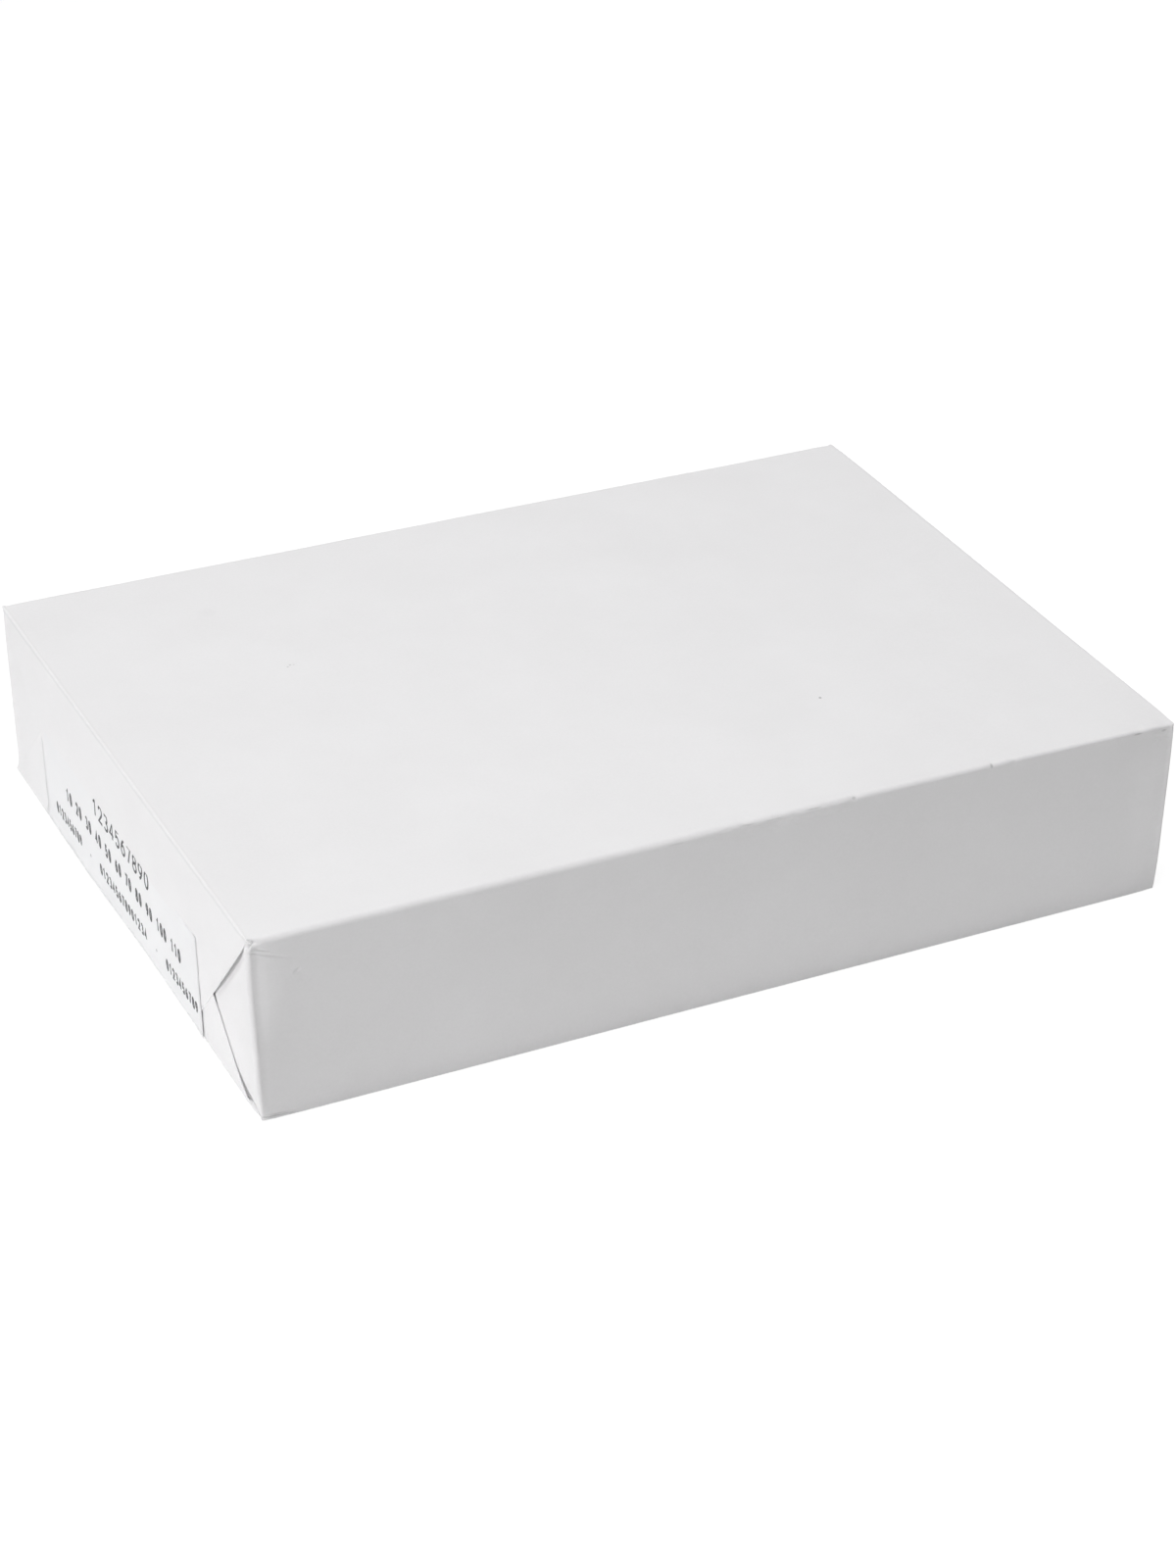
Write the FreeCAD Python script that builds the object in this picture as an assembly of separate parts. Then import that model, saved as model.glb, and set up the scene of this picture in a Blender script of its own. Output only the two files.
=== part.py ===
"""Sealed ream of A4 drawing paper: a block of sheets in a folded white wrapper, with a label on one end.

The wrapper goes round the block like a tube, laps on the underside and is folded shut at both ends:
first the side tucks, then the bottom flap up, then the top flap down, with creases near 45 degrees.
The sealed pack is one solid, and the label on its end is a second one.

Frame, in millimetres: +X along the 297 mm sheet length, with the label at the -X end, +Y across the
210 mm sheet width, +Z up. The origin is the centre of the footprint, on the underside.
"""
import FreeCAD
import Part
import os

# Sheets in the pack
sheet_length = 297.0
sheet_width = 210.0
sheet_count = 250
sheet_caliper = 0.24

# Wrapper
wrapper_thickness = 0.12
long_edge_radius = 2.2        # top and bottom edges along X
flap_bend_radius = 1.2        # where the top and bottom flaps turn down or up onto the end
tuck_bend_radius = 1.5        # where the side tucks turn in onto the end
fold_rise = 0.35              # how far a folded flap stands over what it lies on
top_flap_stop = 10.0          # the top flap's free edge ends this far above the underside
lap_offset = 12.0             # the lap's free edge, towards +Y from the middle of the underside
lap_step = 0.15

# Near side of the label end, folded more loosely: its top crease is steeper than 45 degrees, and its
# bottom crease starts flat and then turns to 45 degrees
slack_top_run = 0.885         # the top crease runs in this far for each millimetre down
slack_crease_inset = 9.2      # the bottom crease runs this far in from a true 45 degree line
slack_bow_height = 8.0        # height at which the bottom crease has reached its 45 degree line
slack_bow_sag = 1.4           # height of the bottom crease halfway along its flat start

# Label
label_width = 136.0
label_height = 34.7
label_thickness = 0.12
label_side_margin = 43.0      # from the pack's -Y side to the label
label_foot = 1.0              # from the underside to the label
label_bend_clearance = 0.3    # the label bends this far below the top flap's free edge

block_width = sheet_width + 2 * wrapper_thickness
block_height = sheet_count * sheet_caliper + 2 * wrapper_thickness
tuck_length = sheet_length + 2 * wrapper_thickness
bottom_flap_length = tuck_length + 2 * fold_rise
top_flap_length = bottom_flap_length + 2 * fold_rise
half_width = block_width / 2
top_flap_reach = block_height - top_flap_stop
outside = block_height        # how far the cutting outlines reach past the block

# The label stands proud of one end only, so the pack sits half its thickness towards +X.
pack_shift = label_thickness / 2
label_end_x = pack_shift - top_flap_length / 2


def vector(x, y, z):
    return FreeCAD.Vector(x, y, z)


def edges_along(shape, direction):
    """The straight edges of a box that run along a direction."""
    found = []
    for edge in shape.Edges:
        run = edge.Vertexes[1].Point - edge.Vertexes[0].Point
        if abs(run.normalize().dot(direction)) > 0.999:
            found.append(edge)
    return found


def rounded_bar(length, radius, direction):
    """A box of the pack's width and height, with its four edges along one direction rounded."""
    corner = vector(pack_shift - length / 2, -half_width, 0)
    box = Part.makeBox(length, block_width, block_height, corner)
    return box.makeFillet(radius, edges_along(box, direction))


def rounded_block(length):
    """A block of the pack's width and height, as long as one layer of the folds reaches."""
    long_edges = rounded_bar(length, long_edge_radius, vector(1, 0, 0))
    flap_bends = rounded_bar(length, flap_bend_radius, vector(0, 1, 0))
    tuck_bends = rounded_bar(length, tuck_bend_radius, vector(0, 0, 1))
    return long_edges.common(flap_bends).common(tuck_bends)


def prism(edges, side):
    """A closed outline in the YZ plane, swept over the half of the pack on one side of X = 0."""
    face = Part.Face(Part.Wire(Part.__sortEdges__(edges)))
    return face.extrude(vector(side * (top_flap_length / 2 + outside), 0, 0))


def path(points):
    """Straight edges from point to point in the YZ plane."""
    return [Part.LineSegment(vector(0, *a), vector(0, *b)).toShape() for a, b in zip(points, points[1:])]


def bottom_crease(hand, slack):
    """The bottom flap's crease at one side, from outside the corner up to where the top flap crosses it."""
    outer = (hand * (half_width + outside), -outside)
    corner = (hand * half_width, 0)
    if not slack:
        return path([outer, corner, (hand * (half_width - block_height / 2), block_height / 2)])
    run = slack_crease_inset + slack_bow_height
    bow_end = (hand * (half_width - run), slack_bow_height)
    bow_middle = (hand * (half_width - run / 2), slack_bow_sag)
    crossing_height = (slack_top_run * block_height - slack_crease_inset) / (1 + slack_top_run)
    crossing = (hand * (half_width - slack_crease_inset - crossing_height), crossing_height)
    bow = Part.Arc(vector(0, *corner), vector(0, *bow_middle), vector(0, *bow_end)).toShape()
    return path([outer, corner]) + [bow] + path([bow_end, crossing])


def start_of(edges):
    point = edges[0].Vertexes[0].Point
    return (point.y, point.z)


def end_of(edges):
    point = edges[-1].Vertexes[-1].Point
    return (point.y, point.z)


def on_top_crease(hand, run, drop):
    """A point on the top flap's crease at one side, at a drop below the top face."""
    return (hand * (half_width - run * drop), block_height - drop)


def top_flap_outline(near_run):
    """Trapezoid from above the top face down to the flap's free edge."""
    corners = [
        on_top_crease(-1, near_run, -outside),
        on_top_crease(1, 1, -outside),
        on_top_crease(1, 1, top_flap_reach),
        on_top_crease(-1, near_run, top_flap_reach),
    ]
    return path(corners + corners[:1])


def bottom_flap_outline(near, far, near_run):
    """What shows of the bottom flap, between its two creases and under the top flap."""
    near_corner = on_top_crease(-1, near_run, top_flap_reach)
    far_corner = on_top_crease(1, 1, top_flap_reach)
    over = path([end_of(near), near_corner, far_corner, end_of(far)])
    return near + over + far + path([start_of(far), start_of(near)])


def tuck_outline(hand, crease, run):
    """What shows of a side tuck, between the bottom and top creases."""
    above = on_top_crease(hand, run, -outside)
    return crease + path([end_of(crease), above, start_of(crease)])


def folded_end(side, slack):
    """One half of the pack, with the layers of its folded end each at their own height."""
    near = bottom_crease(-1, slack)
    far = bottom_crease(1, False)
    near_run = slack_top_run if slack else 1
    layers = [
        (top_flap_length, top_flap_outline(near_run)),
        (bottom_flap_length, bottom_flap_outline(near, far, near_run)),
        (tuck_length, tuck_outline(-1, near, near_run)),
        (tuck_length, tuck_outline(1, far, 1)),
    ]
    pieces = [rounded_block(length).common(prism(edges, side)) for length, edges in layers]
    return pieces[0].fuse(pieces[1:])


def lap_cut():
    """The wedge of air beside the lap's free edge, which runs out at the +Y edge of the underside."""
    far = half_width - long_edge_radius
    corners = [(lap_offset, -outside), (far, -outside), (far, 0), (lap_offset, lap_step)]
    wedge = prism(path(corners + corners[:1]), 1)
    return wedge.fuse(prism(path(corners + corners[:1]), -1)).removeSplitter()


def wrapped_ream():
    """The whole sealed pack: block, side tucks, flaps and lap in one solid."""
    pack = folded_end(-1, True).fuse(folded_end(1, False)).removeSplitter()
    [solid] = pack.cut(lap_cut()).removeSplitter().Solids
    return solid


def end_label():
    """Flat on the top flap, then bent in below its free edge to meet the bottom flap."""
    lower_x = label_end_x + fold_rise
    bend_z = top_flap_stop - label_bend_clearance
    top_z = label_foot + label_height
    section = [
        (label_end_x, top_z),
        (label_end_x - label_thickness, top_z),
        (label_end_x - label_thickness, bend_z),
        (lower_x - label_thickness, label_foot),
        (lower_x, label_foot),
        (label_end_x, bend_z),
    ]
    near_y = -half_width + label_side_margin
    corners = [vector(x, near_y, z) for x, z in section]
    face = Part.Face(Part.makePolygon(corners + corners[:1]))
    return face.extrude(vector(0, label_width, 0))


def main():
    os.makedirs("parts", exist_ok=True)
    for name, shape in (("wrapped_ream", wrapped_ream()), ("end_label", end_label())):
        box = shape.BoundBox
        print(name, "solids", len(shape.Solids), "valid", shape.isValid(), "volume", round(shape.Volume, 2))
        print("  x", round(box.XMin, 3), round(box.XMax, 3), "y", round(box.YMin, 3), round(box.YMax, 3),
              "z", round(box.ZMin, 3), round(box.ZMax, 3))
        shape.exportStep("parts/" + name + ".step")


main()
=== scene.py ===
"""Looks of a sealed ream of A4 drawing paper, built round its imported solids.

The wrapper is one folded sheet. Four panels go round the block, and each runs over the bends at both ends:
the two sides become tucks, the underside becomes the bottom flap and the top becomes the top flap, which
lies over the rest. Their creases are rounded lips that stand clear of what lies under them. A label is
stuck low on the end at -X, over the free edge of the top flap.

Lengths are millimetres in the row frame, and metres for the floor, the lamps and the bumps of the paper.
"""
import math
from collections import namedtuple

import bmesh
import bpy
import numpy as np
from mathutils import Matrix, Vector, noise


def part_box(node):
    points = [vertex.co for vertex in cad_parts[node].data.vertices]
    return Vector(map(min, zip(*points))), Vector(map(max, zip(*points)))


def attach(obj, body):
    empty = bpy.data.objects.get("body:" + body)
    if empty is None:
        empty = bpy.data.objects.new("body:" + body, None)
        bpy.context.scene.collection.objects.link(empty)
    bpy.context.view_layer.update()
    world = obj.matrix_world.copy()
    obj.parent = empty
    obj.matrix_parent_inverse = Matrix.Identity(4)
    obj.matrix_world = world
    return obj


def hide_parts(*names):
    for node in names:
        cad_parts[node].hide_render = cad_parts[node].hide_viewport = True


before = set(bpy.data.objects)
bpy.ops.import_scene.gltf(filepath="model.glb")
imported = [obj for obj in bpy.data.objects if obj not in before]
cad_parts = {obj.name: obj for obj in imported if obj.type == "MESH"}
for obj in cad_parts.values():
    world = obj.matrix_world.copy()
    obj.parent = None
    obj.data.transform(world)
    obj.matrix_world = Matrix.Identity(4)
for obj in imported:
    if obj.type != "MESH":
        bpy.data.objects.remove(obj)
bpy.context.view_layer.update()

MM = 0.001
BODY = "root"

# Wrapper
TOP_EDGE_RADIUS = 2.4        # the top's long edges
CRISP_EDGE_RADIUS = 1.2      # the near one, at its +X end
CRISP_START = -0.2           # share of the half length from which it gets crisper
FOOT_EDGE_RADIUS = 0.5       # the underside's long edges
TOP_BEND_RADIUS = 0.9
FOOT_BEND_RADIUS = 1.0
TUCK_BEND_RADIUS = 1.0
FOLD_RISE = 0.35             # how far a folded flap stands over what it lies on
PAPER = 0.12                 # thickness of the wrapper
TOP_FLAP_STOP = 10.0         # height of the top flap's free edge
BOTTOM_FLAP_END = 31.0       # the bottom flap ends at this height, under the top flap
TUCK_END = 34.0              # the side tucks end this far in, under the flaps
TUCK_HOLLOW = 0.2            # the tucks dip this far between the creases
TUCK_HOLLOW_RUN = 5.0        # and reach that depth this far in from the bend
LIP_RADIUS = 0.2             # a crease's rounded lip
LIP_RETURN = 3.0             # paper folded back under a flap, from its lip
TUCK_MARGIN = 5.0            # paper of a tuck that goes on under the flaps
TUCK_EDGE_GAP = 0.5          # that paper stays this far inside the top and the underside
LAP_OFFSET = 12.0            # the lap's free edge on the underside, towards +Y
LAP_STEP = 0.15              # the inner layer lies this much higher beside it

# How far the tucks swell at the upright edge of an end and side: at the foot, and higher up
BULGES = {(-1, -1): (0.09, 0.88), (-1, 1): (0.03, 0.3), (1, -1): (0.3, 0.7), (1, 1): (0.3, 0.66)}
BULGE_RISE = 12.0            # from the foot to the full swelling
BULGE_RUN = 7.0              # in from the upright edge

# Near side of the label end, folded more loosely: a steep top crease, and a bottom one that starts flat
SLACK_TOP_RUN = 0.87         # the top crease runs in this far for each millimetre down
SLACK_INSET = 10.6           # the bottom crease lies this far in from a true 45 degree line
SLACK_BOW_HEIGHT = 8.0       # height at which the bottom crease has reached its 45 degree line
SLACK_BOW_SAG = 1.35         # height of the bottom crease halfway along its flat start
SLACK_GAPE = 1.0             # the tuck dips this much further beside its top crease
GAPE_WIDTH = 1.8
GAPE_RUN = 12.0              # the dip reaches that depth this far in from the side
GAPE_STOP = 24.0             # and fades from here to where the creases meet
GAPE_FADE = 9.0
GAPE_LOSS = 0.8              # by this share

# The dark gap over the flat start of the loose bottom crease
GAP_DEPTH = 1.8
GAP_INSET = 8.5              # its middle is this far in from the side
GAP_LENGTH = 5.5
GAP_RISE = 0.4               # and this far above the crease
GAP_REACH = 1.2

ream_low, ream_high = (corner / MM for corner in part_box("wrapped_ream"))
label_low, label_high = (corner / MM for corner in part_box("end_label"))
CENTRE_X = (ream_low.x + ream_high.x) / 2
HALF_LENGTH = (ream_high.x - ream_low.x) / 2
HALF_WIDTH = ream_high.y
HEIGHT = ream_high.z
MIDDLE = HEIGHT / 2
BOTTOM_FLAP_REACH = HALF_LENGTH - FOLD_RISE
TUCK_REACH = BOTTOM_FLAP_REACH - FOLD_RISE


# Small helpers

def mix(a, b, share):
    return a + (b - a) * share


def smooth(share):
    share = min(max(share, 0.0), 1.0)
    return share * share * (3 - 2 * share)


def bump(distance, radius):
    """A soft dome of height 1 and about that radius."""
    return math.exp(-(distance / radius) ** 2)


def hills(point, size, seed=0.0):
    """Smooth noise from 0 to 1 over a point in millimetres, with hills about that size."""
    return 0.5 + 0.5 * noise.noise(Vector(point) / size + Vector((seed, 0.37 * seed, -seed)))


def spread(length, step, edges):
    """Shares of a length from 0 to 1, exclusive: close together near both ends, then a step apart."""
    inside = np.arange(edges[-1] + step, length / 2, step)
    near = np.array(list(edges) + list(inside))
    return np.concatenate([near, [length / 2], length - near[::-1]]) / length


# Creases of the folded ends

def slack_circle():
    """Centre and radius of the loose crease's bow, in distance from the side and height."""
    run = SLACK_INSET + SLACK_BOW_HEIGHT
    across = (run / 2) ** 2 + SLACK_BOW_SAG ** 2
    whole = run ** 2 + SLACK_BOW_HEIGHT ** 2
    cross = 2 * (run / 2 * SLACK_BOW_HEIGHT - SLACK_BOW_SAG * run)
    centre_u = (SLACK_BOW_HEIGHT * across - SLACK_BOW_SAG * whole) / cross
    centre_z = (run / 2 * whole - run * across) / cross
    return centre_u, centre_z, math.hypot(centre_u, centre_z)


BOW_U, BOW_Z, BOW_RADIUS = slack_circle()


def slack_crease_u(z):
    """How far in from the side the loose crease is, at a height."""
    if z > SLACK_BOW_HEIGHT:
        return z + SLACK_INSET
    return BOW_U + math.sqrt(max(BOW_RADIUS ** 2 - (BOW_Z - z) ** 2, 0.0))


def slack_crease_z(u):
    """The height of the loose crease, at a distance in from the side."""
    if u > SLACK_INSET + SLACK_BOW_HEIGHT:
        return u - SLACK_INSET
    return BOW_Z - math.sqrt(max(BOW_RADIUS ** 2 - (u - BOW_U) ** 2, 0.0))


# How the pack lies: the label end leans a little, and the top sinks towards the near corner of the other
# end. No point goes past the pack's sides or through the floor.

END_LEAN = 2.2               # the label end's foot stands this far in from its top
CORNER_SAG = 1.3


def settle(point):
    point = Vector(point)
    along = (point.x - CENTRE_X) / HALF_LENGTH
    height = point.z / HEIGHT
    near = smooth((HALF_WIDTH - point.y) / (2 * HALF_WIDTH))
    lean = END_LEAN * (1 - height) * (1 - along) / 2
    sag = CORNER_SAG * max(along, 0.0) ** 2 * near * height
    across = min(max(point.y, -HALF_WIDTH), HALF_WIDTH)
    return Vector((point.x + lean, across, max(point.z - sag, 0.0)))


# The sheet's four panels

# A row runs across a panel: where it is along X and outward, which way it faces, how far it is folded
# from the long face (0) to the end (1), how deep it lies on the end, and which end that is.
Row = namedtuple("Row", "along out faces_along faces_out fold depth end")

# A panel's place: the outward and lateral directions, half its extent each way, how far its end parts
# reach along X, and the radius of its bends.
Place = namedtuple("Place", "outward lateral half_out half_lateral reach bend")

BEND_STEPS = 8
ARC_STEPS = 6
OVERHANG_STEPS = 3


def panel_rows(place, stations, depths):
    """Rows from deep on the end at -X, over the long face, to deep on the end at +X."""
    ends = {}
    for end in (-1, 1):
        rows = []
        for step in range(BEND_STEPS + 1):
            angle = math.pi / 2 * step / BEND_STEPS
            along = end * (place.reach - place.bend * (1 - math.sin(angle)))
            depth = place.bend * (1 - math.cos(angle))
            fold = step / BEND_STEPS
            facing = (end * math.sin(angle), math.cos(angle))
            rows.append(Row(along, place.half_out - depth, *facing, fold, depth, end))
        for depth in depths:
            rows.append(Row(end * place.reach, place.half_out - depth, end, 0.0, 1.0, depth, end))
        ends[end] = rows
    middle = [Row(along, place.half_out, 0.0, 1.0, 0.0, 0.0, 0) for along in stations]
    return ends[-1][::-1] + middle + ends[1]


def edge_radius(place, side, along):
    """Radius of the long edge on one side of a panel, the same for both panels that meet there."""
    corner = place.outward + place.lateral * side
    if corner.z < 0:
        return FOOT_EDGE_RADIUS
    if corner.y > 0:
        return TOP_EDGE_RADIUS
    crisp = smooth((along / HALF_LENGTH - CRISP_START) / (1 - CRISP_START))
    return mix(TOP_EDGE_RADIUS, CRISP_EDGE_RADIUS, crisp)


def row_profile(low, high, radii, angle, overhangs, shares):
    """Points across a row as (lateral, drop, facing out, facing sideways).

    Each side goes round an arc of its radius and that angle, then on in a straight line for its overhang.
    """
    sides = {}
    for side, edge in ((-1, low), (1, high)):
        radius = radii[side]
        points = []
        for step in range(ARC_STEPS + 1):
            turn = angle * step / ARC_STEPS
            lateral = edge - side * radius * (1 - math.sin(turn))
            points.append((lateral, radius * (1 - math.cos(turn)), math.cos(turn), side * math.sin(turn)))
        lateral, drop, facing, sideways = points[-1]
        for step in range(1, OVERHANG_STEPS + 1):
            run = overhangs[side] * step / OVERHANG_STEPS
            spot = (lateral + side * run * math.cos(angle), drop + run * math.sin(angle))
            points.append((*spot, facing, sideways))
        sides[side] = points
    start, stop = low + radii[-1], high - radii[1]
    middle = [(mix(start, stop, share), 0.0, 1.0, 0.0) for share in shares]
    return sides[-1][::-1] + middle + sides[1]


def between_creases(place, row, crease_at):
    """Both ends of a row across its panel: at the long edges, and at the creases once it is folded."""
    low = -place.half_lateral
    high = place.half_lateral
    if row.fold > 0:
        low += crease_at(row.end, -1)(row.depth)
        high -= crease_at(row.end, 1)(row.depth)
    return low, high


def flap_profile(place, row, shares, crease_at):
    """Across the top or bottom: the long edges' arcs become the creases' lips, with paper folded under."""
    low, high = between_creases(place, row, crease_at)
    share = smooth(row.fold)
    radii = {side: mix(edge_radius(place, side, row.along), LIP_RADIUS, share) for side in (-1, 1)}
    angle = mix(math.pi / 4, math.pi, share)
    run = LIP_RETURN * share
    return row_profile(low, high, radii, angle, {-1: run, 1: run}, shares)


def tuck_profile(place, row, shares, crease_at):
    """Across a side: the long edges' arcs flatten into margins that go on under the flaps."""
    low, high = between_creases(place, row, crease_at)
    share = smooth(row.fold)
    angle = mix(math.pi / 4, 0.0, share)
    radii, runs = {}, {}
    for side, edge in ((-1, low), (1, high)):
        radii[side] = min(edge_radius(place, side, row.along), (high - low) / 2)
        room = place.half_lateral - abs(edge)
        margin = min(max(row.depth - 1, 0.0), TUCK_MARGIN, max(room - TUCK_EDGE_GAP, 0.0))
        runs[side] = (radii[side] + margin) * share
    return row_profile(low, high, radii, angle, runs, shares)


def straight_crease(depth):
    return depth


def creases(below=straight_crease, above=straight_crease):
    """Picks the crease at one end and side of a panel; the two given ones are those of the label end."""
    def pick(end, side):
        if end == -1:
            return below if side == -1 else above
        return straight_crease
    return pick


TOP_CREASES = creases(below=lambda depth: SLACK_TOP_RUN * depth)
BOTTOM_CREASES = creases(below=slack_crease_u)
NEAR_CREASES = creases(below=slack_crease_z, above=lambda depth: depth / SLACK_TOP_RUN)
FAR_CREASES = creases()


# Relief: how far a point of the wrapper lies inside its true plane

CORNERS = [
    Vector((CENTRE_X + a * HALF_LENGTH, b * HALF_WIDTH, c))
    for a in (-1, 1) for b in (-1, 1) for c in (0, HEIGHT)
]

# The paper's unevenness: depth, size of its hills and seed of the noise
WIDE_HILLS = (0.16, 75.0, 0.0)
SMALL_HILLS = (0.05, 22.0, 3.1)
EDGE_HILLS = (0.22, 24.0, 7.7)       # along the top's long edges
CORNER_HILLS = (0.4, 3.2, 1.9)
EDGE_REACH = 9.0
EDGES_APART = 40.0                   # in the noise, so that the two edges differ
CORNER_REACH = 5.0
FOOT_FLATTENS = 0.9                  # the foot's long edges are flatter by this share

# Small dents in the front's top edge: place along X, length along the edge, depth
EDGE_DENTS = (
    (1.8, 2.0, 0.3),
    (38.0, 1.8, 0.35),
    (84.5, 1.6, 0.45),
    (91.7, 1.4, 0.35),
    (135.8, 1.8, 0.45),
    (145.3, 1.5, 0.4),
)
EDGE_DENT_REACH = 2.2

# The open fold at the near top corner of the label end
OPEN_FOLD = Vector((-148.4, -104.3, 58.6))
OPEN_FOLD_REACH = 0.9
OPEN_FOLD_DEPTH = 2.4

# The foot of the label end sticks out along its far half: how far, up to about which height, and from
# which Y on
FOOT_SPREAD = 1.1
FOOT_SPREAD_RISE = 3.0
FOOT_SPREAD_START = -20.0
FOOT_SPREAD_RUN = 60.0
FOOT_SPREAD_FADE = 20.0      # under the pack, away from the end

# The near upright edge of that end is pushed in under the open fold
UPRIGHT_DENT = Vector((-149.0, -105.0, 43.0))
UPRIGHT_DENT_REACH = Vector((5.0, 4.0, 16.0))
UPRIGHT_DENT_DEPTH = 1.8

# The long sides sink a little between their edges
SIDE_SKIN = 1.0              # a point this near a long side belongs to it
SIDE_HOLLOW = 0.9
SIDE_HOLLOW_FADE = 14.0      # from the ends

# The top flap sinks along the label's near edge, and is pressed flat under the rest of the label
END_SKIN = 2.0               # a point this near the label end belongs to it
LABEL_GROOVE = 0.3
LABEL_GROOVE_WIDTH = 1.2
LABEL_GROOVE_FADE = 1.0      # above and below the label
LABEL_FLATTENS = 0.85
LABEL_FLATTENS_REACH = 6.0


def long_edge_distance(point):
    return math.hypot(HALF_WIDTH - abs(point.y), MIDDLE - abs(point.z - MIDDLE))


def beside_label(point):
    """How far a point of the end lies outside the label, across and up."""
    across = max(label_low.y - point.y, point.y - label_high.y, 0.0)
    up = max(label_low.z - point.z, point.z - label_high.z, 0.0)
    return across, up


def uneven(point, depth, size, seed):
    return depth * hills(point, size, seed)


def side_hollow(point):
    share = point.z / HEIGHT
    from_end = HALF_LENGTH - abs(point.x - CENTRE_X)
    return SIDE_HOLLOW * 4 * share * (1 - share) * smooth(from_end / SIDE_HOLLOW_FADE)


def foot_spread(y, z):
    return FOOT_SPREAD * smooth((y - FOOT_SPREAD_START) / FOOT_SPREAD_RUN) * bump(z, FOOT_SPREAD_RISE)


def relief(point):
    dip = uneven(point, *WIDE_HILLS) + uneven(point, *SMALL_HILLS)
    if HALF_WIDTH - abs(point.y) < SIDE_SKIN:
        dip += side_hollow(point)
    edge = long_edge_distance(point)
    if point.z > MIDDLE:
        along_edge = (point.x, EDGES_APART * (point.y > 0), EDGES_APART)
        dip += uneven(along_edge, *EDGE_HILLS) * bump(edge, EDGE_REACH)
    else:
        dip *= 1 - FOOT_FLATTENS * bump(edge, EDGE_REACH)
    corner = min((point - spot).length for spot in CORNERS)
    dip += uneven(point, *CORNER_HILLS) * bump(corner, CORNER_REACH)
    dip += OPEN_FOLD_DEPTH * bump((point - OPEN_FOLD).length, OPEN_FOLD_REACH)
    if point.y < 0 and point.z > MIDDLE:
        for place, length, depth in EDGE_DENTS:
            dip += depth * bump(point.x - place, length) * bump(edge, EDGE_DENT_REACH)
    if point.x < label_low.x + END_SKIN:
        across, up = beside_label(point)
        dip *= 1 - LABEL_FLATTENS * bump(math.hypot(across, up), LABEL_FLATTENS_REACH)
        groove = point.y - label_low.y + LABEL_GROOVE_WIDTH
        dip += LABEL_GROOVE * bump(groove, LABEL_GROOVE_WIDTH) * bump(up, LABEL_GROOVE_FADE)
    return dip


def tuck_hollow(place, row, lateral):
    """How far a side tuck dips between its creases and swells at the upright edge, and where it gapes."""
    if row.fold == 0:
        return 0.0
    dip = TUCK_HOLLOW * smooth((row.depth - TUCK_BEND_RADIUS / 2) / TUCK_HOLLOW_RUN)
    side = -1 if place.outward.y < 0 else 1
    at_foot, higher = BULGES[row.end, side]
    swelling = mix(at_foot, higher, smooth((lateral + place.half_lateral) / BULGE_RISE))
    dip -= swelling * row.fold * bump(row.depth, BULGE_RUN)
    if (row.end, side) == (-1, -1):
        below_crease = place.half_lateral - row.depth / SLACK_TOP_RUN - lateral
        gape = smooth(row.depth / GAPE_RUN) * (1 - GAPE_LOSS * smooth((row.depth - GAPE_STOP) / GAPE_FADE))
        dip += SLACK_GAPE * gape * bump(below_crease, GAPE_WIDTH)
        above = lateral + place.half_lateral - slack_crease_z(row.depth)
        dip += GAP_DEPTH * bump(row.depth - GAP_INSET, GAP_LENGTH) * bump(above - GAP_RISE, GAP_REACH)
    return dip


def lap_rise(point, place):
    """On the underside, the inner layer lies a step higher than the outer one, past the lap's free edge."""
    if place.outward.z > -0.5 or point.y < LAP_OFFSET:
        return 0.0
    return LAP_STEP * (HALF_WIDTH - point.y) / (HALF_WIDTH - LAP_OFFSET)


def panel_points(place, rows, shares, profile, crease_at):
    """The panel's points in rows, in the row frame."""
    centre = Vector((CENTRE_X, 0, MIDDLE))
    grid = []
    for row in rows:
        line = []
        for lateral, drop, facing_out, facing_side in profile(place, row, shares, crease_at):
            hollow = tuck_hollow(place, row, lateral) if profile is tuck_profile else 0.0
            away = Vector((row.faces_along, 0, 0)) + place.outward * row.faces_out
            spot = centre + Vector((row.along, 0, 0)) + place.outward * row.out
            spot = spot + place.lateral * lateral - away * drop
            facing = away * facing_out + place.lateral * facing_side
            inward = facing.lerp(away, smooth(row.fold))
            spot = spot - inward * (relief(spot) + hollow) - away * lap_rise(spot, place)
            from_end = spot.x - CENTRE_X + HALF_LENGTH
            spot.x -= foot_spread(spot.y, spot.z) * (1 - smooth(from_end / FOOT_SPREAD_FADE))
            from_dent = [a / b for a, b in zip(spot - UPRIGHT_DENT, UPRIGHT_DENT_REACH)]
            spot.y += UPRIGHT_DENT_DEPTH * bump(math.hypot(*from_dent), 1.0)
            line.append(spot)
        grid.append(line)
    return grid


def add_grid(vertices, faces, grid):
    start = len(vertices)
    width = len(grid[0])
    for line in grid:
        vertices.extend(line)
    for i in range(len(grid) - 1):
        for j in range(width - 1):
            a = start + i * width + j
            faces.append((a, a + 1, a + width + 1, a + width))


# Rows and columns of the mesh
PAST_BEND = (0.6, 1.6, 3.2)          # the first rows past a bend
BESIDE_EDGE = (1.2, 3.0, 6.0)        # the first columns past an edge or crease
BEFORE_BEND = (0.8, 1.8, 3.0)        # the last rows of a long face
WIDE_STEP = 5.0                      # between columns of the top and the underside
NARROW_STEP = 4.0                    # between columns of the sides
TOP_FLAP_STEP = 3.0                  # between rows of each end part
BOTTOM_FLAP_STEP = 2.5
TUCK_STEP = 2.0
STATIONS = 76                        # rows along the long faces
CLOSEST_STATIONS = 0.35
ROWS_BY_DENT = 4                     # on each side of a dent, half its length apart
MERGE_DISTANCE = 0.004


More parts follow.
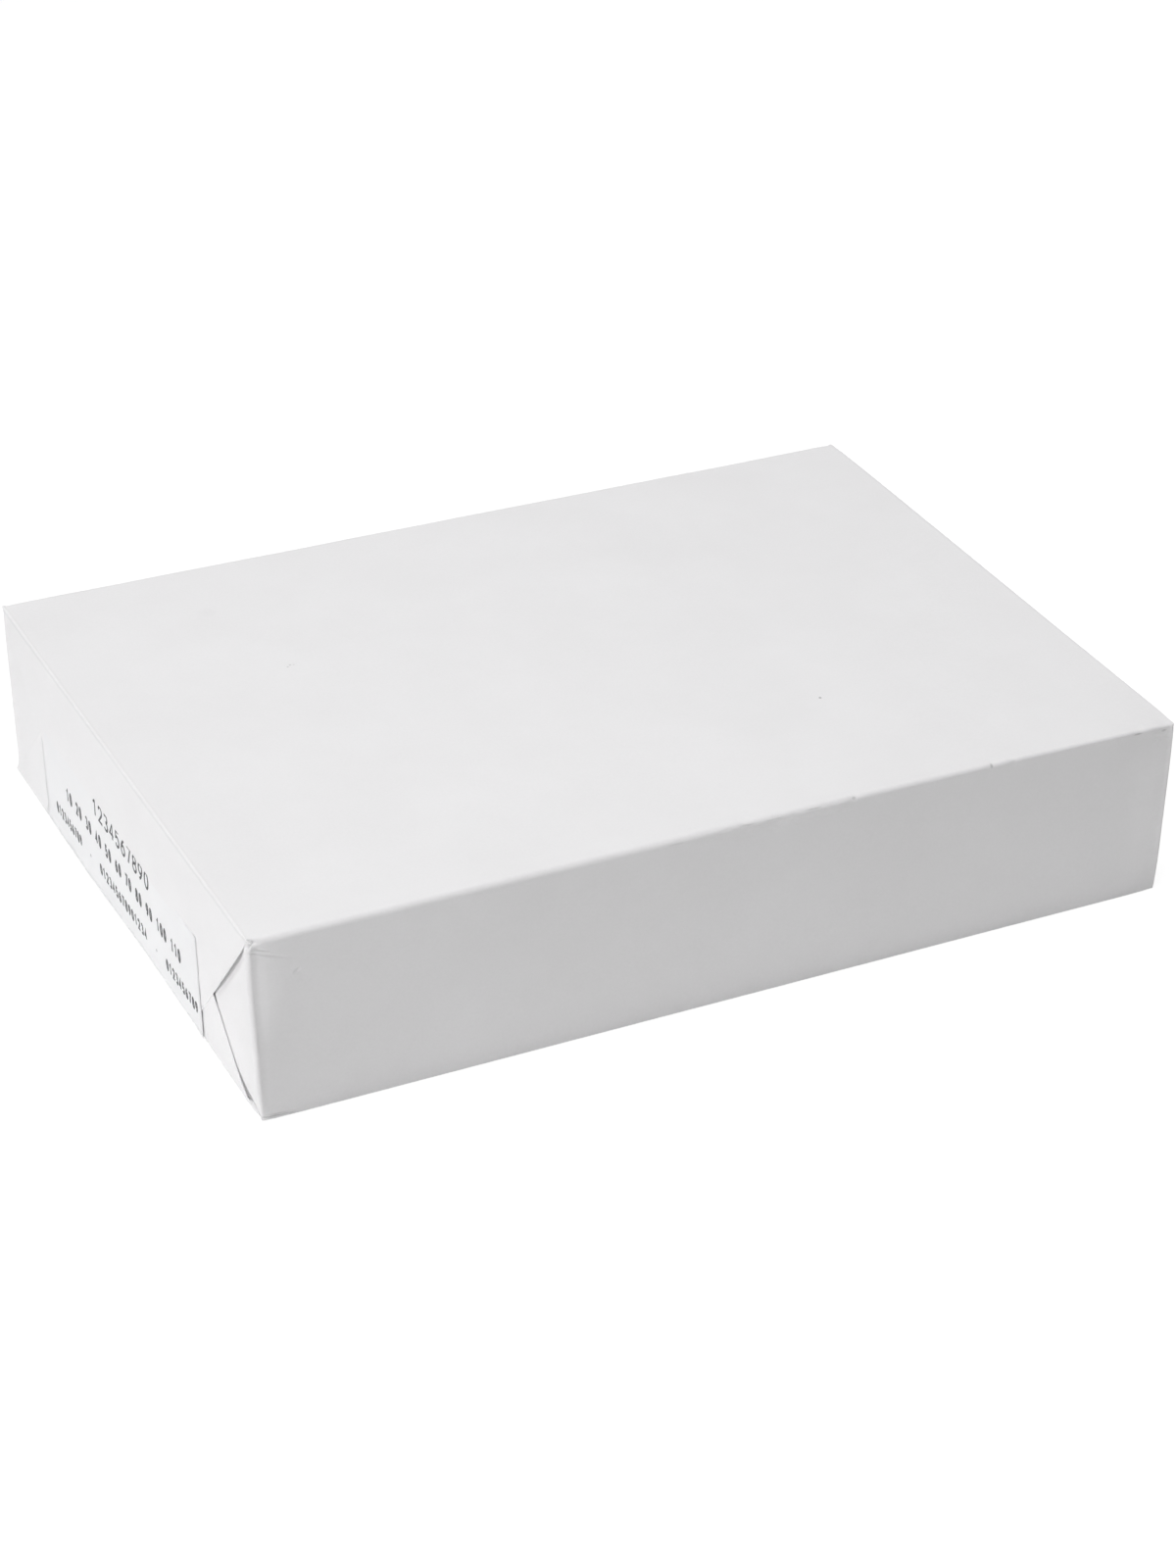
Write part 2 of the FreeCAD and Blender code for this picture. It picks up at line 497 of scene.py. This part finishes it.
def end_depths(first, last, step):
    """Depths down an end part: close together past the bend, then a step apart."""
    depths = [first + past for past in PAST_BEND]
    count = max(int((last - depths[-1]) / step), 1)
    return depths + [mix(depths[-1], last, (k + 1) / count) for k in range(count)]


def stations_along():
    """Places of the rows along the long faces, closer together near the ends and the dents."""
    limit = min(
        HALF_LENGTH - TOP_BEND_RADIUS,
        BOTTOM_FLAP_REACH - FOOT_BEND_RADIUS,
        TUCK_REACH - TUCK_BEND_RADIUS,
    )
    places = set(np.round(np.linspace(-limit, limit, STATIONS), 3))
    for inset in BEFORE_BEND:
        places |= {round(limit - inset, 3), round(inset - limit, 3)}
    for place, length, depth in EDGE_DENTS:
        for k in range(-ROWS_BY_DENT, ROWS_BY_DENT + 1):
            places.add(round(place - CENTRE_X + k * length / 2, 3))
    kept = []
    for place in sorted(p for p in places if abs(p) <= limit):
        if not kept or place - kept[-1] > CLOSEST_STATIONS:
            kept.append(place)
    kept[-1] = limit
    kept[0] = -limit
    return kept


def merge_points(data, distance):
    mesh = bmesh.new()
    mesh.from_mesh(data)
    bmesh.ops.remove_doubles(mesh, verts=mesh.verts, dist=distance)
    bmesh.ops.recalc_face_normals(mesh, faces=mesh.faces)
    top = max(mesh.faces, key=lambda face: face.calc_center_median().z)
    if top.normal.z < 0:
        bmesh.ops.reverse_faces(mesh, faces=mesh.faces)
    mesh.to_mesh(data)
    mesh.free()


def make_object(name, vertices, faces):
    data = bpy.data.meshes.new(name)
    data.from_pydata([Vector(v) * MM for v in vertices], [], faces)
    piece = bpy.data.objects.new(name, data)
    bpy.context.scene.collection.objects.link(piece)
    return piece


def make_piece(name, vertices, faces):
    """A piece of the pack, from points in its true box."""
    return make_object(name, [settle(v) for v in vertices], faces)


def apply_modifiers(piece):
    graph = bpy.context.evaluated_depsgraph_get()
    data = bpy.data.meshes.new_from_object(piece.evaluated_get(graph))
    piece.modifiers.clear()
    piece.data = data


def thicken(piece, thickness):
    """Gives a sheet its thickness, inward."""
    solid = piece.modifiers.new("thickness", "SOLIDIFY")
    solid.thickness = thickness * MM
    solid.offset = -1.0
    solid.use_rim = True
    apply_modifiers(piece)
    for face in piece.data.polygons:
        face.use_smooth = True


def make_wrapper():
    stations = stations_along()
    wide = spread(2 * HALF_WIDTH, WIDE_STEP, BESIDE_EDGE)
    narrow = spread(HEIGHT, NARROW_STEP, BESIDE_EDGE)
    up, across = Vector((0, 0, 1)), Vector((0, 1, 0))
    top = Place(up, across, MIDDLE, HALF_WIDTH, HALF_LENGTH, TOP_BEND_RADIUS)
    bottom = Place(-up, across, MIDDLE, HALF_WIDTH, BOTTOM_FLAP_REACH, FOOT_BEND_RADIUS)
    near = Place(-across, up, HALF_WIDTH, MIDDLE, TUCK_REACH, TUCK_BEND_RADIUS)
    far = Place(across, up, HALF_WIDTH, MIDDLE, TUCK_REACH, TUCK_BEND_RADIUS)
    top_depths = end_depths(TOP_BEND_RADIUS, HEIGHT - TOP_FLAP_STOP, TOP_FLAP_STEP)
    bottom_depths = end_depths(FOOT_BEND_RADIUS, BOTTOM_FLAP_END, BOTTOM_FLAP_STEP)
    tuck_depths = end_depths(TUCK_BEND_RADIUS, TUCK_END, TUCK_STEP)
    vertices, faces = [], []
    for place, depths, shares, profile, crease_at in (
        (top, top_depths, wide, flap_profile, TOP_CREASES),
        (bottom, bottom_depths, wide, flap_profile, BOTTOM_CREASES),
        (near, tuck_depths, narrow, tuck_profile, NEAR_CREASES),
        (far, tuck_depths, narrow, tuck_profile, FAR_CREASES),
    ):
        rows = panel_rows(place, stations, depths)
        add_grid(vertices, faces, panel_points(place, rows, shares, profile, crease_at))
    piece = make_piece("folded_wrapper", vertices, faces)
    merge_points(piece.data, MERGE_DISTANCE * MM)
    thicken(piece, PAPER)
    for vertex in piece.data.vertices:
        vertex.co.z = max(vertex.co.z, 0.0)
    return piece


# Label

LABEL_PAPER = 0.08
INK = 0.02                   # how far the print stands off the label
LABEL_GAP = 0.3              # the label lifts this far at its near lower corner
LABEL_GAP_REACH = 4.0
LABEL_BEND = 1.0             # how softly it bends below the flap's free edge
LABEL_COLUMNS = 46
LABEL_ROWS = 24
LABEL_SINK = 0.17            # it is pressed into the wrapper along its far and top edges
SINK_WIDTH = 5.0


def label_outside(y, z):
    """X of the label's outer face: flat on the top flap, then in towards the bottom flap."""
    x = label_low.x + INK
    below = TOP_FLAP_STOP - z
    lean = FOLD_RISE / (TOP_FLAP_STOP - label_low.z)
    inward = lean * (below + math.hypot(below, LABEL_BEND)) / 2
    corner = bump(math.hypot(y - label_low.y, z - label_low.z), LABEL_GAP_REACH)
    lift = min(LABEL_GAP * corner, inward)
    from_edge = min(label_high.y - y, label_high.z - z)
    near_edge = bump(y - label_low.y, 3 * SINK_WIDTH)
    sink = LABEL_SINK * bump(from_edge, SINK_WIDTH) * (1 - near_edge)
    return x + inward - lift + sink - foot_spread(y, z)


def make_label():
    vertices, faces = [], []
    for i in range(LABEL_ROWS + 1):
        z = mix(label_low.z, label_high.z, i / LABEL_ROWS)
        for j in range(LABEL_COLUMNS + 1):
            y = mix(label_low.y, label_high.y, j / LABEL_COLUMNS)
            vertices.append((label_outside(y, z), y, z))
    for i in range(LABEL_ROWS):
        for j in range(LABEL_COLUMNS):
            a = i * (LABEL_COLUMNS + 1) + j
            faces.append((a, a + LABEL_COLUMNS + 1, a + LABEL_COLUMNS + 2, a + 1))
    piece = make_piece("paper_label", vertices, faces)
    thicken(piece, LABEL_PAPER)
    return piece


# Print on the label: plain figures drawn as strokes in a cell one high

CELL_WIDTH = 0.6
FIGURE_GAP = 1.6             # room between figures, in widths of a stroke
SHARPEST_MITRE = 0.5
ROUND_STEPS = 14


def bow(centre_x, centre_y, radius_x, radius_y, start, stop):
    """Points on an ellipse from one angle to another, in degrees."""
    count = max(int(abs(stop - start) / 360 * ROUND_STEPS), 3)
    angles = [math.radians(mix(start, stop, k / count)) for k in range(count + 1)]
    return [(centre_x + radius_x * math.cos(t), centre_y + radius_y * math.sin(t)) for t in angles]


def turned(strokes):
    return [[(CELL_WIDTH - x, 1 - y) for x, y in stroke] for stroke in strokes]


SIX = [[(0.47, 0.99), (0.26, 0.82), (0.08, 0.54)] + bow(0.3, 0.3, 0.27, 0.3, 160, -200)]
FIGURES = {
    "0": [bow(0.3, 0.5, 0.27, 0.5, 90, 450)],
    "1": [[(0.08, 0.78), (0.34, 1.0), (0.34, 0.0)]],
    "2": [bow(0.29, 0.71, 0.26, 0.29, 170, -35) + [(0.03, 0.0), (0.57, 0.0)]],
    "3": [bow(0.28, 0.76, 0.24, 0.24, 150, -90), bow(0.28, 0.26, 0.28, 0.26, 90, -150)],
    "4": [[(0.43, 0.0), (0.43, 1.0), (0.02, 0.28), (0.58, 0.28)]],
    "5": [[(0.53, 1.0), (0.13, 1.0), (0.08, 0.55)] + bow(0.28, 0.32, 0.28, 0.32, 115, -150)],
    "6": SIX,
    "7": [[(0.03, 1.0), (0.57, 1.0), (0.2, 0.0)]],
    "8": [bow(0.3, 0.76, 0.22, 0.24, 90, 450), bow(0.3, 0.27, 0.27, 0.27, 90, 450)],
    "9": turned(SIX),
    ".": [[(0.22, 0.4), (0.38, 0.4)]],
    " ": [],
}

# A line of print: its figures, where it starts and ends from the pack's -Y side, its foot, its height and
# the width of its strokes
PRINT_LINES = (
    ("1234567890", 131.0, 81.4, 28.1, 5.4, 0.9),
    ("10 20 30 40 50 60 70 80 90 100 110", 157.2, 57.2, 17.9, 3.9, 0.95),
    ("0123456789", 169.0, 145.0, 7.2, 3.4, 0.85),
    (".", 138.6, 135.6, 7.3, 3.4, 1.0),
    ("012345678901234", 128.9, 87.4, 7.5, 3.4, 0.85),
    (".", 80.9, 78.0, 7.7, 3.4, 1.0),
    ("0123456789", 71.8, 45.4, 7.7, 3.4, 0.85),
)


def stroke_edges(points, width):
    """The two sides of a stroke, mitred where it turns."""
    closed = math.dist(points[0], points[-1]) < 1e-6
    ring = points[:-1] if closed else points
    count = len(ring)
    left, right = [], []
    for k, (x, y) in enumerate(ring):
        before = ring[k - 1] if k > 0 or closed else ring[k]
        after = ring[(k + 1) % count] if k < count - 1 or closed else ring[k]
        into = Vector((x - before[0], y - before[1]))
        out = Vector((after[0] - x, after[1] - y))
        into = into.normalized() if into.length > 0 else out.normalized()
        out = out.normalized() if out.length > 0 else into
        along = (into + out).normalized()
        reach = width / 2 / max(along.dot(into), SHARPEST_MITRE)
        left.append((x - along.y * reach, y + along.x * reach))
        right.append((x + along.y * reach, y - along.x * reach))
    if closed:
        left.append(left[0])
        right.append(right[0])
    return left, right


def add_stroke(vertices, faces, points, width):
    """A flat bar along a stroke, on the label's face, as a closed solid."""
    left, right = stroke_edges(points, width)
    start = len(vertices)
    for near, far in zip(left, right):
        for (y, z), lift in ((near, INK), (far, INK), (far, -INK / 2), (near, -INK / 2)):
            vertices.append((label_outside(y, z) - lift, y, z))
    for k in range(len(left) - 1):
        a = start + 4 * k
        for side in range(4):
            after = (side + 1) % 4
            faces.append((a + side, a + after, a + 4 + after, a + 4 + side))
    last = start + 4 * (len(left) - 1)
    faces.append((start, start + 3, start + 2, start + 1))
    faces.append((last, last + 1, last + 2, last + 3))


def make_print():
    vertices, faces = [], []
    for text, first, last, foot, tall, width in PRINT_LINES:
        pitch = (first - last) / len(text)
        wide = min(CELL_WIDTH * tall, pitch - width * FIGURE_GAP)
        for k, figure in enumerate(text):
            start = first - pitch * k - (pitch - wide) / 2
            for stroke in FIGURES[figure]:
                points = [(start - x / CELL_WIDTH * wide - HALF_WIDTH, foot + y * tall) for x, y in stroke]
                add_stroke(vertices, faces, points, width)
    return make_piece("label_figures", vertices, faces)


# Materials

def new_material(name):
    material = bpy.data.materials.new(name)
    material.use_nodes = True
    return material, material.node_tree, material.node_tree.nodes["Principled BSDF"]


def add_node(tree, kind, **inputs):
    node = tree.nodes.new(kind)
    for key, value in inputs.items():
        node.inputs[key.replace("_", " ")].default_value = value
    return node


def row_coordinates(tree, scale=(1, 1, 1)):
    """Places in the row frame, in metres, stretched by a scale."""
    source = tree.nodes.new("ShaderNodeTexCoord")
    mapping = tree.nodes.new("ShaderNodeMapping")
    mapping.inputs["Scale"].default_value = scale
    tree.links.new(source.outputs["Object"], mapping.inputs["Vector"])
    return mapping.outputs["Vector"]


def noise_field(tree, coordinates, scale, detail=2.0, roughness=0.5):
    field = add_node(tree, "ShaderNodeTexNoise", Scale=scale, Detail=detail, Roughness=roughness)
    tree.links.new(coordinates, field.inputs["Vector"])
    return field.outputs["Fac"]


# Most of a noise field lies between these
NOISE_LOW = 0.3
NOISE_HIGH = 0.7


def ramp(tree, value, low, high, dark, light):
    """A value from low to high becomes a colour from dark to light."""
    node = tree.nodes.new("ShaderNodeValToRGB")
    node.color_ramp.elements[0].position = low
    node.color_ramp.elements[1].position = high
    node.color_ramp.elements[0].color = (*dark, 1)
    node.color_ramp.elements[1].color = (*light, 1)
    tree.links.new(value, node.inputs["Fac"])
    return node.outputs["Color"]


def map_range(tree, value, low, high, to_low, to_high):
    node = tree.nodes.new("ShaderNodeMapRange")
    for key, number in (("From Min", low), ("From Max", high), ("To Min", to_low), ("To Max", to_high)):
        node.inputs[key].default_value = number
    tree.links.new(value, node.inputs["Value"])
    return node.outputs["Result"]


def tones(tree, field, dark, light):
    return ramp(tree, field, NOISE_LOW, NOISE_HIGH, dark, light)


def set_roughness(tree, shader, field, low, high):
    tree.links.new(map_range(tree, field, NOISE_LOW, NOISE_HIGH, low, high), shader.inputs["Roughness"])


def multiply(tree, first, second):
    node = tree.nodes.new("ShaderNodeMix")
    node.data_type = "RGBA"
    node.blend_type = "MULTIPLY"
    node.inputs["Factor"].default_value = 1.0
    tree.links.new(first, node.inputs["A"])
    tree.links.new(second, node.inputs["B"])
    return node.outputs["Result"]


def add_bump(tree, height, distance, strength, below=None):
    node = add_node(tree, "ShaderNodeBump", Distance=distance, Strength=strength)
    tree.links.new(height, node.inputs["Height"])
    if below is not None:
        tree.links.new(below, node.inputs["Normal"])
    return node.outputs["Normal"]


def grain(tree, coordinates, scale, detail, height, strength, below=None):
    """Bumps from noise: its scale and detail, the bumps' height in metres and their strength."""
    return add_bump(tree, noise_field(tree, coordinates, scale, detail), height, strength, below)


# Marks on the top: place and reach each way in millimetres, and darkest tone
SPECKS = (
    ((57.3, -50.3, 60), (0.6, 0.6, 4), 0.5),
    ((-82.3, 31.3, 60), (0.5, 0.5, 4), 0.8),
    ((-81.2, 32.2, 60), (0.5, 0.5, 4), 0.78),
    ((-80.1, 31.9, 60), (0.4, 0.4, 4), 0.82),
    ((-92.1, 73.8, 60), (3.5, 3.5, 4), 0.98),
)

# Painted shade: grey spots painted where the front's top edge has small nicks and dents, in the same form
EDGE_NICK_SHADE = (
    ((-19.5, -104.8, 58.4), (3.6, 1.5, 0.4), 0.9),
    ((2.8, -104.6, 58.8), (3.0, 1.5, 0.35), 0.83),
    ((12.5, -104.6, 58.8), (4.0, 1.5, 0.3), 0.85),
    ((24.5, -104.4, 59.0), (3.6, 1.5, 0.3), 0.8),
    ((38.1, -104.2, 59.1), (0.8, 1.5, 0.5), 0.76),
    ((84.6, -104.2, 58.8), (0.6, 1.5, 0.8), 0.68),
    ((91.7, -104.3, 58.7), (1.5, 1.5, 0.3), 0.86),
    ((135.8, -104.4, 57.8), (1.8, 1.5, 0.4), 0.76),
    ((145.2, -104.5, 57.0), (1.2, 1.5, 0.5), 0.78),
)

# Crinkled places of the wrapper: place and reach each way
CRINKLES = (
    ((12.0, -105.0, 57.5), (48.0, 3.0, 5.0)),
    ((144.0, -105.0, 56.0), (11.0, 4.0, 6.0)),
    ((-148.0, -104.5, 57.0), (6.0, 4.0, 6.0)),
)
CRINKLE_DEPTH = 1.0
CRINKLE_SCALE = (130, 200, 420)

# Fine creases and dents in the front: place along X and up, half length, half width, fall over its
# length in degrees, and depth
FRONT_CREASES = (
    ((-141.8, 53.8), 7.5, 0.8, 19.0, 0.32),
    ((-144.8, 56.3), 2.6, 0.6, 20.0, 0.3),
    ((-134.7, 46.9), 1.6, 0.9, -35.0, 0.45),
    ((-141.5, 1.4), 7.5, 0.5, 3.0, 0.5),
)
CREASE_REACH = 8.0           # how far a front crease's mark goes into the pack

# Painted shade: the paper is painted a little greyer along the bends of the top flaps, which dims the light
# that the bends catch
BEND_SHADE = 0.92
BEND_SHADE_REACH = 1.8
BEND_SHADE_LENGTH = 500.0
BEND_SHADE_INSET = 0.2        # from the end
BEND_SHADE_DROP = 0.6         # below the top

# Tones from dark to light
WRAPPER_TONES = ((0.862, 0.855, 0.862), (0.888, 0.882, 0.89))
FIBRE_TONES = ((0.975, 0.975, 0.975), (1, 1, 1))
LABEL_TONES = ((0.85, 0.85, 0.862), (0.875, 0.875, 0.885))
INK_TONES = ((0.016, 0.016, 0.019), (0.05, 0.05, 0.056))

STREAK_SCALE = (12, 12, 1300)        # the wrapper's streaks lie level


def blob(tree, coordinates, place, radii, turn=0.0):
    """1 in the middle of an ellipsoid, falling to 0 at its surface."""
    local = tree.nodes.new("ShaderNodeMapping")
    local.vector_type = "TEXTURE"
    local.inputs["Location"].default_value = Vector(place) * MM
    local.inputs["Rotation"].default_value = (0, math.radians(turn), 0)
    local.inputs["Scale"].default_value = Vector(radii) * MM
    tree.links.new(coordinates, local.inputs["Vector"])
    distance = tree.nodes.new("ShaderNodeVectorMath")
    distance.operation = "LENGTH"
    tree.links.new(local.outputs["Vector"], distance.inputs[0])
    return map_range(tree, distance.outputs["Value"], 0, 1, 1, 0)


def dark_spot(tree, coordinates, place, radii, tone):
    """White, with a soft dark spot."""
    mark = blob(tree, coordinates, place, radii)
    return ramp(tree, mark, 0.0, 0.6, (1, 1, 1), (tone,) * 3)


def wrapper_material():
    material, tree, shader = new_material("wrapper_paper")
    plain = row_coordinates(tree)
    streaked = row_coordinates(tree, STREAK_SCALE)
    colour = tones(tree, noise_field(tree, plain, 28, 4, 0.6), *WRAPPER_TONES)
    fibres = tones(tree, noise_field(tree, plain, 1500, 3), *FIBRE_TONES)
    colour = multiply(tree, colour, fibres)
    # The specks are marks on the paper itself; the spots along the front's top edge are painted shade of
    # its nicks
    for place, radii, tone in SPECKS + EDGE_NICK_SHADE:
        colour = multiply(tree, colour, dark_spot(tree, plain, place, radii, tone))
    # Painted shade along the top bend at each end
    for end in (-1, 1):
        place = (CENTRE_X + end * (HALF_LENGTH - BEND_SHADE_INSET), 0, HEIGHT - BEND_SHADE_DROP)
        bend_shade = blob(tree, plain, place, (BEND_SHADE_REACH, BEND_SHADE_LENGTH, BEND_SHADE_REACH))
        colour = multiply(tree, colour, ramp(tree, bend_shade, 0.2, 0.75, (1, 1, 1), (BEND_SHADE,) * 3))
    tree.links.new(colour, shader.inputs["Base Color"])
    set_roughness(tree, shader, noise_field(tree, plain, 60, 3), 0.58, 0.7)
    shader.inputs["Specular IOR Level"].default_value = 0.3
    cockle = grain(tree, plain, 140, 2, 0.0002, 0.25)
    streaks = grain(tree, streaked, 1, 2, 0.00005, 0.35, cockle)
    surface = grain(tree, plain, 2600, 2, 0.00003, 0.4, streaks)
    for (x, z), length, width, fall, depth in FRONT_CREASES:
        mark = blob(tree, plain, (x, -HALF_WIDTH, z), (length, CREASE_REACH, width), fall)
        surface = add_bump(tree, mark, -depth * MM, 1.0, surface)
    creased = noise_field(tree, row_coordinates(tree, CRINKLE_SCALE), 1, 3, 0.6)
    for place, radii in CRINKLES:
        surface = add_bump(tree, creased, CRINKLE_DEPTH * MM, 0.0, surface)
        tree.links.new(blob(tree, plain, place, radii), surface.node.inputs["Strength"])
    tree.links.new(surface, shader.inputs["Normal"])
    return material


def label_material():
    material, tree, shader = new_material("label_paper")
    plain = row_coordinates(tree)
    colour = tones(tree, noise_field(tree, plain, 90, 4), *LABEL_TONES)
    tree.links.new(colour, shader.inputs["Base Color"])
    set_roughness(tree, shader, noise_field(tree, plain, 200, 3), 0.5, 0.58)
    shader.inputs["Specular IOR Level"].default_value = 0.35
    tree.links.new(grain(tree, plain, 3200, 2, 0.00002, 0.3), shader.inputs["Normal"])
    return material


def ink_material():
    material, tree, shader = new_material("printing_ink")
    plain = row_coordinates(tree)
    colour = tones(tree, noise_field(tree, plain, 900, 3), *INK_TONES)
    tree.links.new(colour, shader.inputs["Base Color"])
    set_roughness(tree, shader, noise_field(tree, plain, 600, 2), 0.45, 0.6)
    tree.links.new(grain(tree, plain, 3200, 2, 0.00001, 0.3), shader.inputs["Normal"])
    return material


# Camera, floor and light

CAMERA_AZIMUTH = -27.05
CAMERA_ELEVATION = 30.85
CAMERA_ROLL = -1.67
CAMERA_OFFSET = Vector((-5.09, 13.71, 1110.4))   # the frame's origin from the camera: right, down, forward
FOCAL_PIXELS = 3598.0
PHOTO_HEIGHT = 1600.0
SENSOR = 36.0


def make_camera():
    azimuth, elevation = math.radians(CAMERA_AZIMUTH), math.radians(CAMERA_ELEVATION)
    level = math.cos(elevation)
    forward = -Vector((math.sin(azimuth) * level, -math.cos(azimuth) * level, math.sin(elevation)))
    right = forward.cross(Vector((0, 0, 1))).normalized()
    down = forward.cross(right)
    turn = Matrix.Rotation(math.radians(CAMERA_ROLL), 3, forward)
    right, down = turn @ right, turn @ down
    place = -(right * CAMERA_OFFSET.x + down * CAMERA_OFFSET.y + forward * CAMERA_OFFSET.z) * MM
    data = bpy.data.cameras.new("camera")
    data.sensor_width = SENSOR
    data.lens = SENSOR * FOCAL_PIXELS / PHOTO_HEIGHT
    data.clip_start = 0.01
    data.clip_end = 50
    camera = bpy.data.objects.new("camera", data)
    bpy.context.scene.collection.objects.link(camera)
    camera.matrix_world = Matrix.Translation(place) @ Matrix((right, -down, -forward)).transposed().to_4x4()
    bpy.context.scene.camera = camera


def seen_directly(tree):
    """1 where the camera sees something directly, or in a mirror or through glass."""
    path = tree.nodes.new("ShaderNodeLightPath")
    total = path.outputs["Is Camera Ray"]
    for name in ("Is Glossy Ray", "Is Transmission Ray"):
        node = tree.nodes.new("ShaderNodeMath")
        node.operation = "ADD"
        node.use_clamp = True
        tree.links.new(total, node.inputs[0])
        tree.links.new(path.outputs[name], node.inputs[1])
        total = node.outputs["Value"]
    return total


FLOOR_SIZE = 6.0
FLOOR_TONE = 0.94
FLOOR_GLOW = 1.18
SHADOW_SHARE = 0.28          # how much of the floor that the camera sees takes the object's shadow


def make_floor():
    half = FLOOR_SIZE / 2 / MM
    corners = [(-half, -half, 0), (half, -half, 0), (half, half, 0), (-half, half, 0)]
    floor = make_object("floor", corners, [(0, 1, 2, 3)])
    material, tree, shader = new_material("floor")
    shader.inputs["Base Color"].default_value = (FLOOR_TONE, FLOOR_TONE, FLOOR_TONE, 1)
    shader.inputs["Roughness"].default_value = 0.9
    shader.inputs["Specular IOR Level"].default_value = 0.1
    glow = add_node(tree, "ShaderNodeEmission", Color=(1, 1, 1, 1), Strength=FLOOR_GLOW)
    blend = add_node(tree, "ShaderNodeMixShader")
    scaled = tree.nodes.new("ShaderNodeMath")
    scaled.operation = "MULTIPLY"
    scaled.inputs[1].default_value = 1 - SHADOW_SHARE
    tree.links.new(seen_directly(tree), scaled.inputs[0])
    tree.links.new(scaled.outputs["Value"], blend.inputs["Fac"])
    tree.links.new(shader.outputs["BSDF"], blend.inputs[1])
    tree.links.new(glow.outputs["Emission"], blend.inputs[2])
    output = tree.nodes["Material Output"]
    tree.links.new(blend.outputs["Shader"], output.inputs["Surface"])
    floor.data.materials.append(material)


SKY_STRENGTH = 0.12


def make_sky():
    world = bpy.data.worlds.new("studio")
    bpy.context.scene.world = world
    world.use_nodes = True
    tree = world.node_tree
    lighting = tree.nodes["Background"]
    lighting.inputs["Color"].default_value = (1, 1, 1, 1)
    lighting.inputs["Strength"].default_value = SKY_STRENGTH
    backdrop = add_node(tree, "ShaderNodeBackground", Color=(1, 1, 1, 1), Strength=1.0)
    blend = add_node(tree, "ShaderNodeMixShader")
    tree.links.new(seen_directly(tree), blend.inputs["Fac"])
    tree.links.new(lighting.outputs["Background"], blend.inputs[1])
    tree.links.new(backdrop.outputs["Background"], blend.inputs[2])
    tree.links.new(blend.outputs["Shader"], tree.nodes["World Output"].inputs["Surface"])


# Soft lamps aimed at the pack: place, width and height in metres, and power in watts
LAMPS = {
    "side": ((-1.6, -0.35, 0.34), 1.2, 0.6, 9.5),
    "front": ((-0.75, -0.75, 0.3), 0.5, 0.3, 0.15),
    "right": ((1.6, 0.15, 0.34), 1.2, 0.6, 4.6),
    "overhead": ((-0.25, -0.08, 1.6), 1.2, 1.2, 20.0),
}
LAMP_TARGET = (0, 0, 0.03)


def make_lamp(name, place, width, height, power):
    data = bpy.data.lights.new(name, "AREA")
    data.shape = "ELLIPSE"
    data.size = width
    data.size_y = height
    data.energy = power
    lamp = bpy.data.objects.new(name, data)
    bpy.context.scene.collection.objects.link(lamp)
    lamp.location = place
    lamp.rotation_mode = "QUATERNION"
    lamp.rotation_quaternion = (Vector(LAMP_TARGET) - Vector(place)).to_track_quat("-Z", "Y")


def dress(piece, material, *nodes, slot=None):
    piece.data.materials.clear()
    piece.data.materials.append(material)
    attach(piece, BODY)
    if nodes:
        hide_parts(*nodes)


make_camera()
make_floor()
make_sky()
for name, settings in LAMPS.items():
    make_lamp(name, *settings)

dress(make_wrapper(), wrapper_material(), "wrapped_ream", slot="wrapper_paper")
dress(make_label(), label_material(), "end_label", slot="label_paper")
dress(make_print(), ink_material())

bpy.context.scene.view_settings.view_transform = "Standard"
